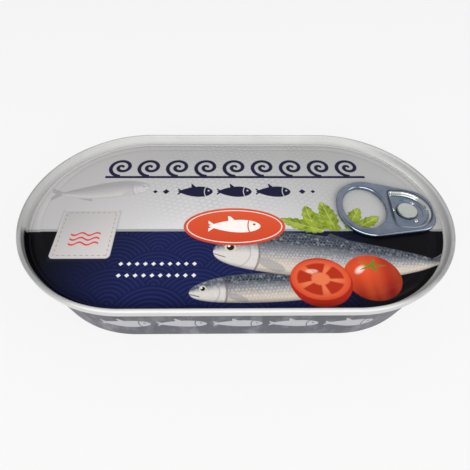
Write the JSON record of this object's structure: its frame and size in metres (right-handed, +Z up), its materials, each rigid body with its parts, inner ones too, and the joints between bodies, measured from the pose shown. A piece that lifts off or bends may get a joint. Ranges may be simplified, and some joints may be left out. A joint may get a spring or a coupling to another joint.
{
  "type": "tin of herring",
  "caption": "Shut oblong easy-open fish tin: drawn body, double-seamed printed lid sunk inside the seam, and a ring-pull riveted to the lid near one end.",
  "frame": {"origin": "middle of the base, on the surface that the tin stands on", "axes": "+X along the tin towards the ring-pull's nose, +Y across it, +Z up out of the lid"},
  "size_m": [0.149, 0.081, 0.025],
  "materials": {
    "can_body": "satin lacquered print with a metallic sheen",
    "lid_end": "glossy lacquered print",
    "pull_tab": "bright rolled metal",
    "rivet": "glossy lacquer"
  },
  "bodies": {
    "root": {"can_body": "can_body", "lid_end": "lid_end", "pull_tab": "pull_tab", "rivet": "rivet"}
  },
  "joints": []
}
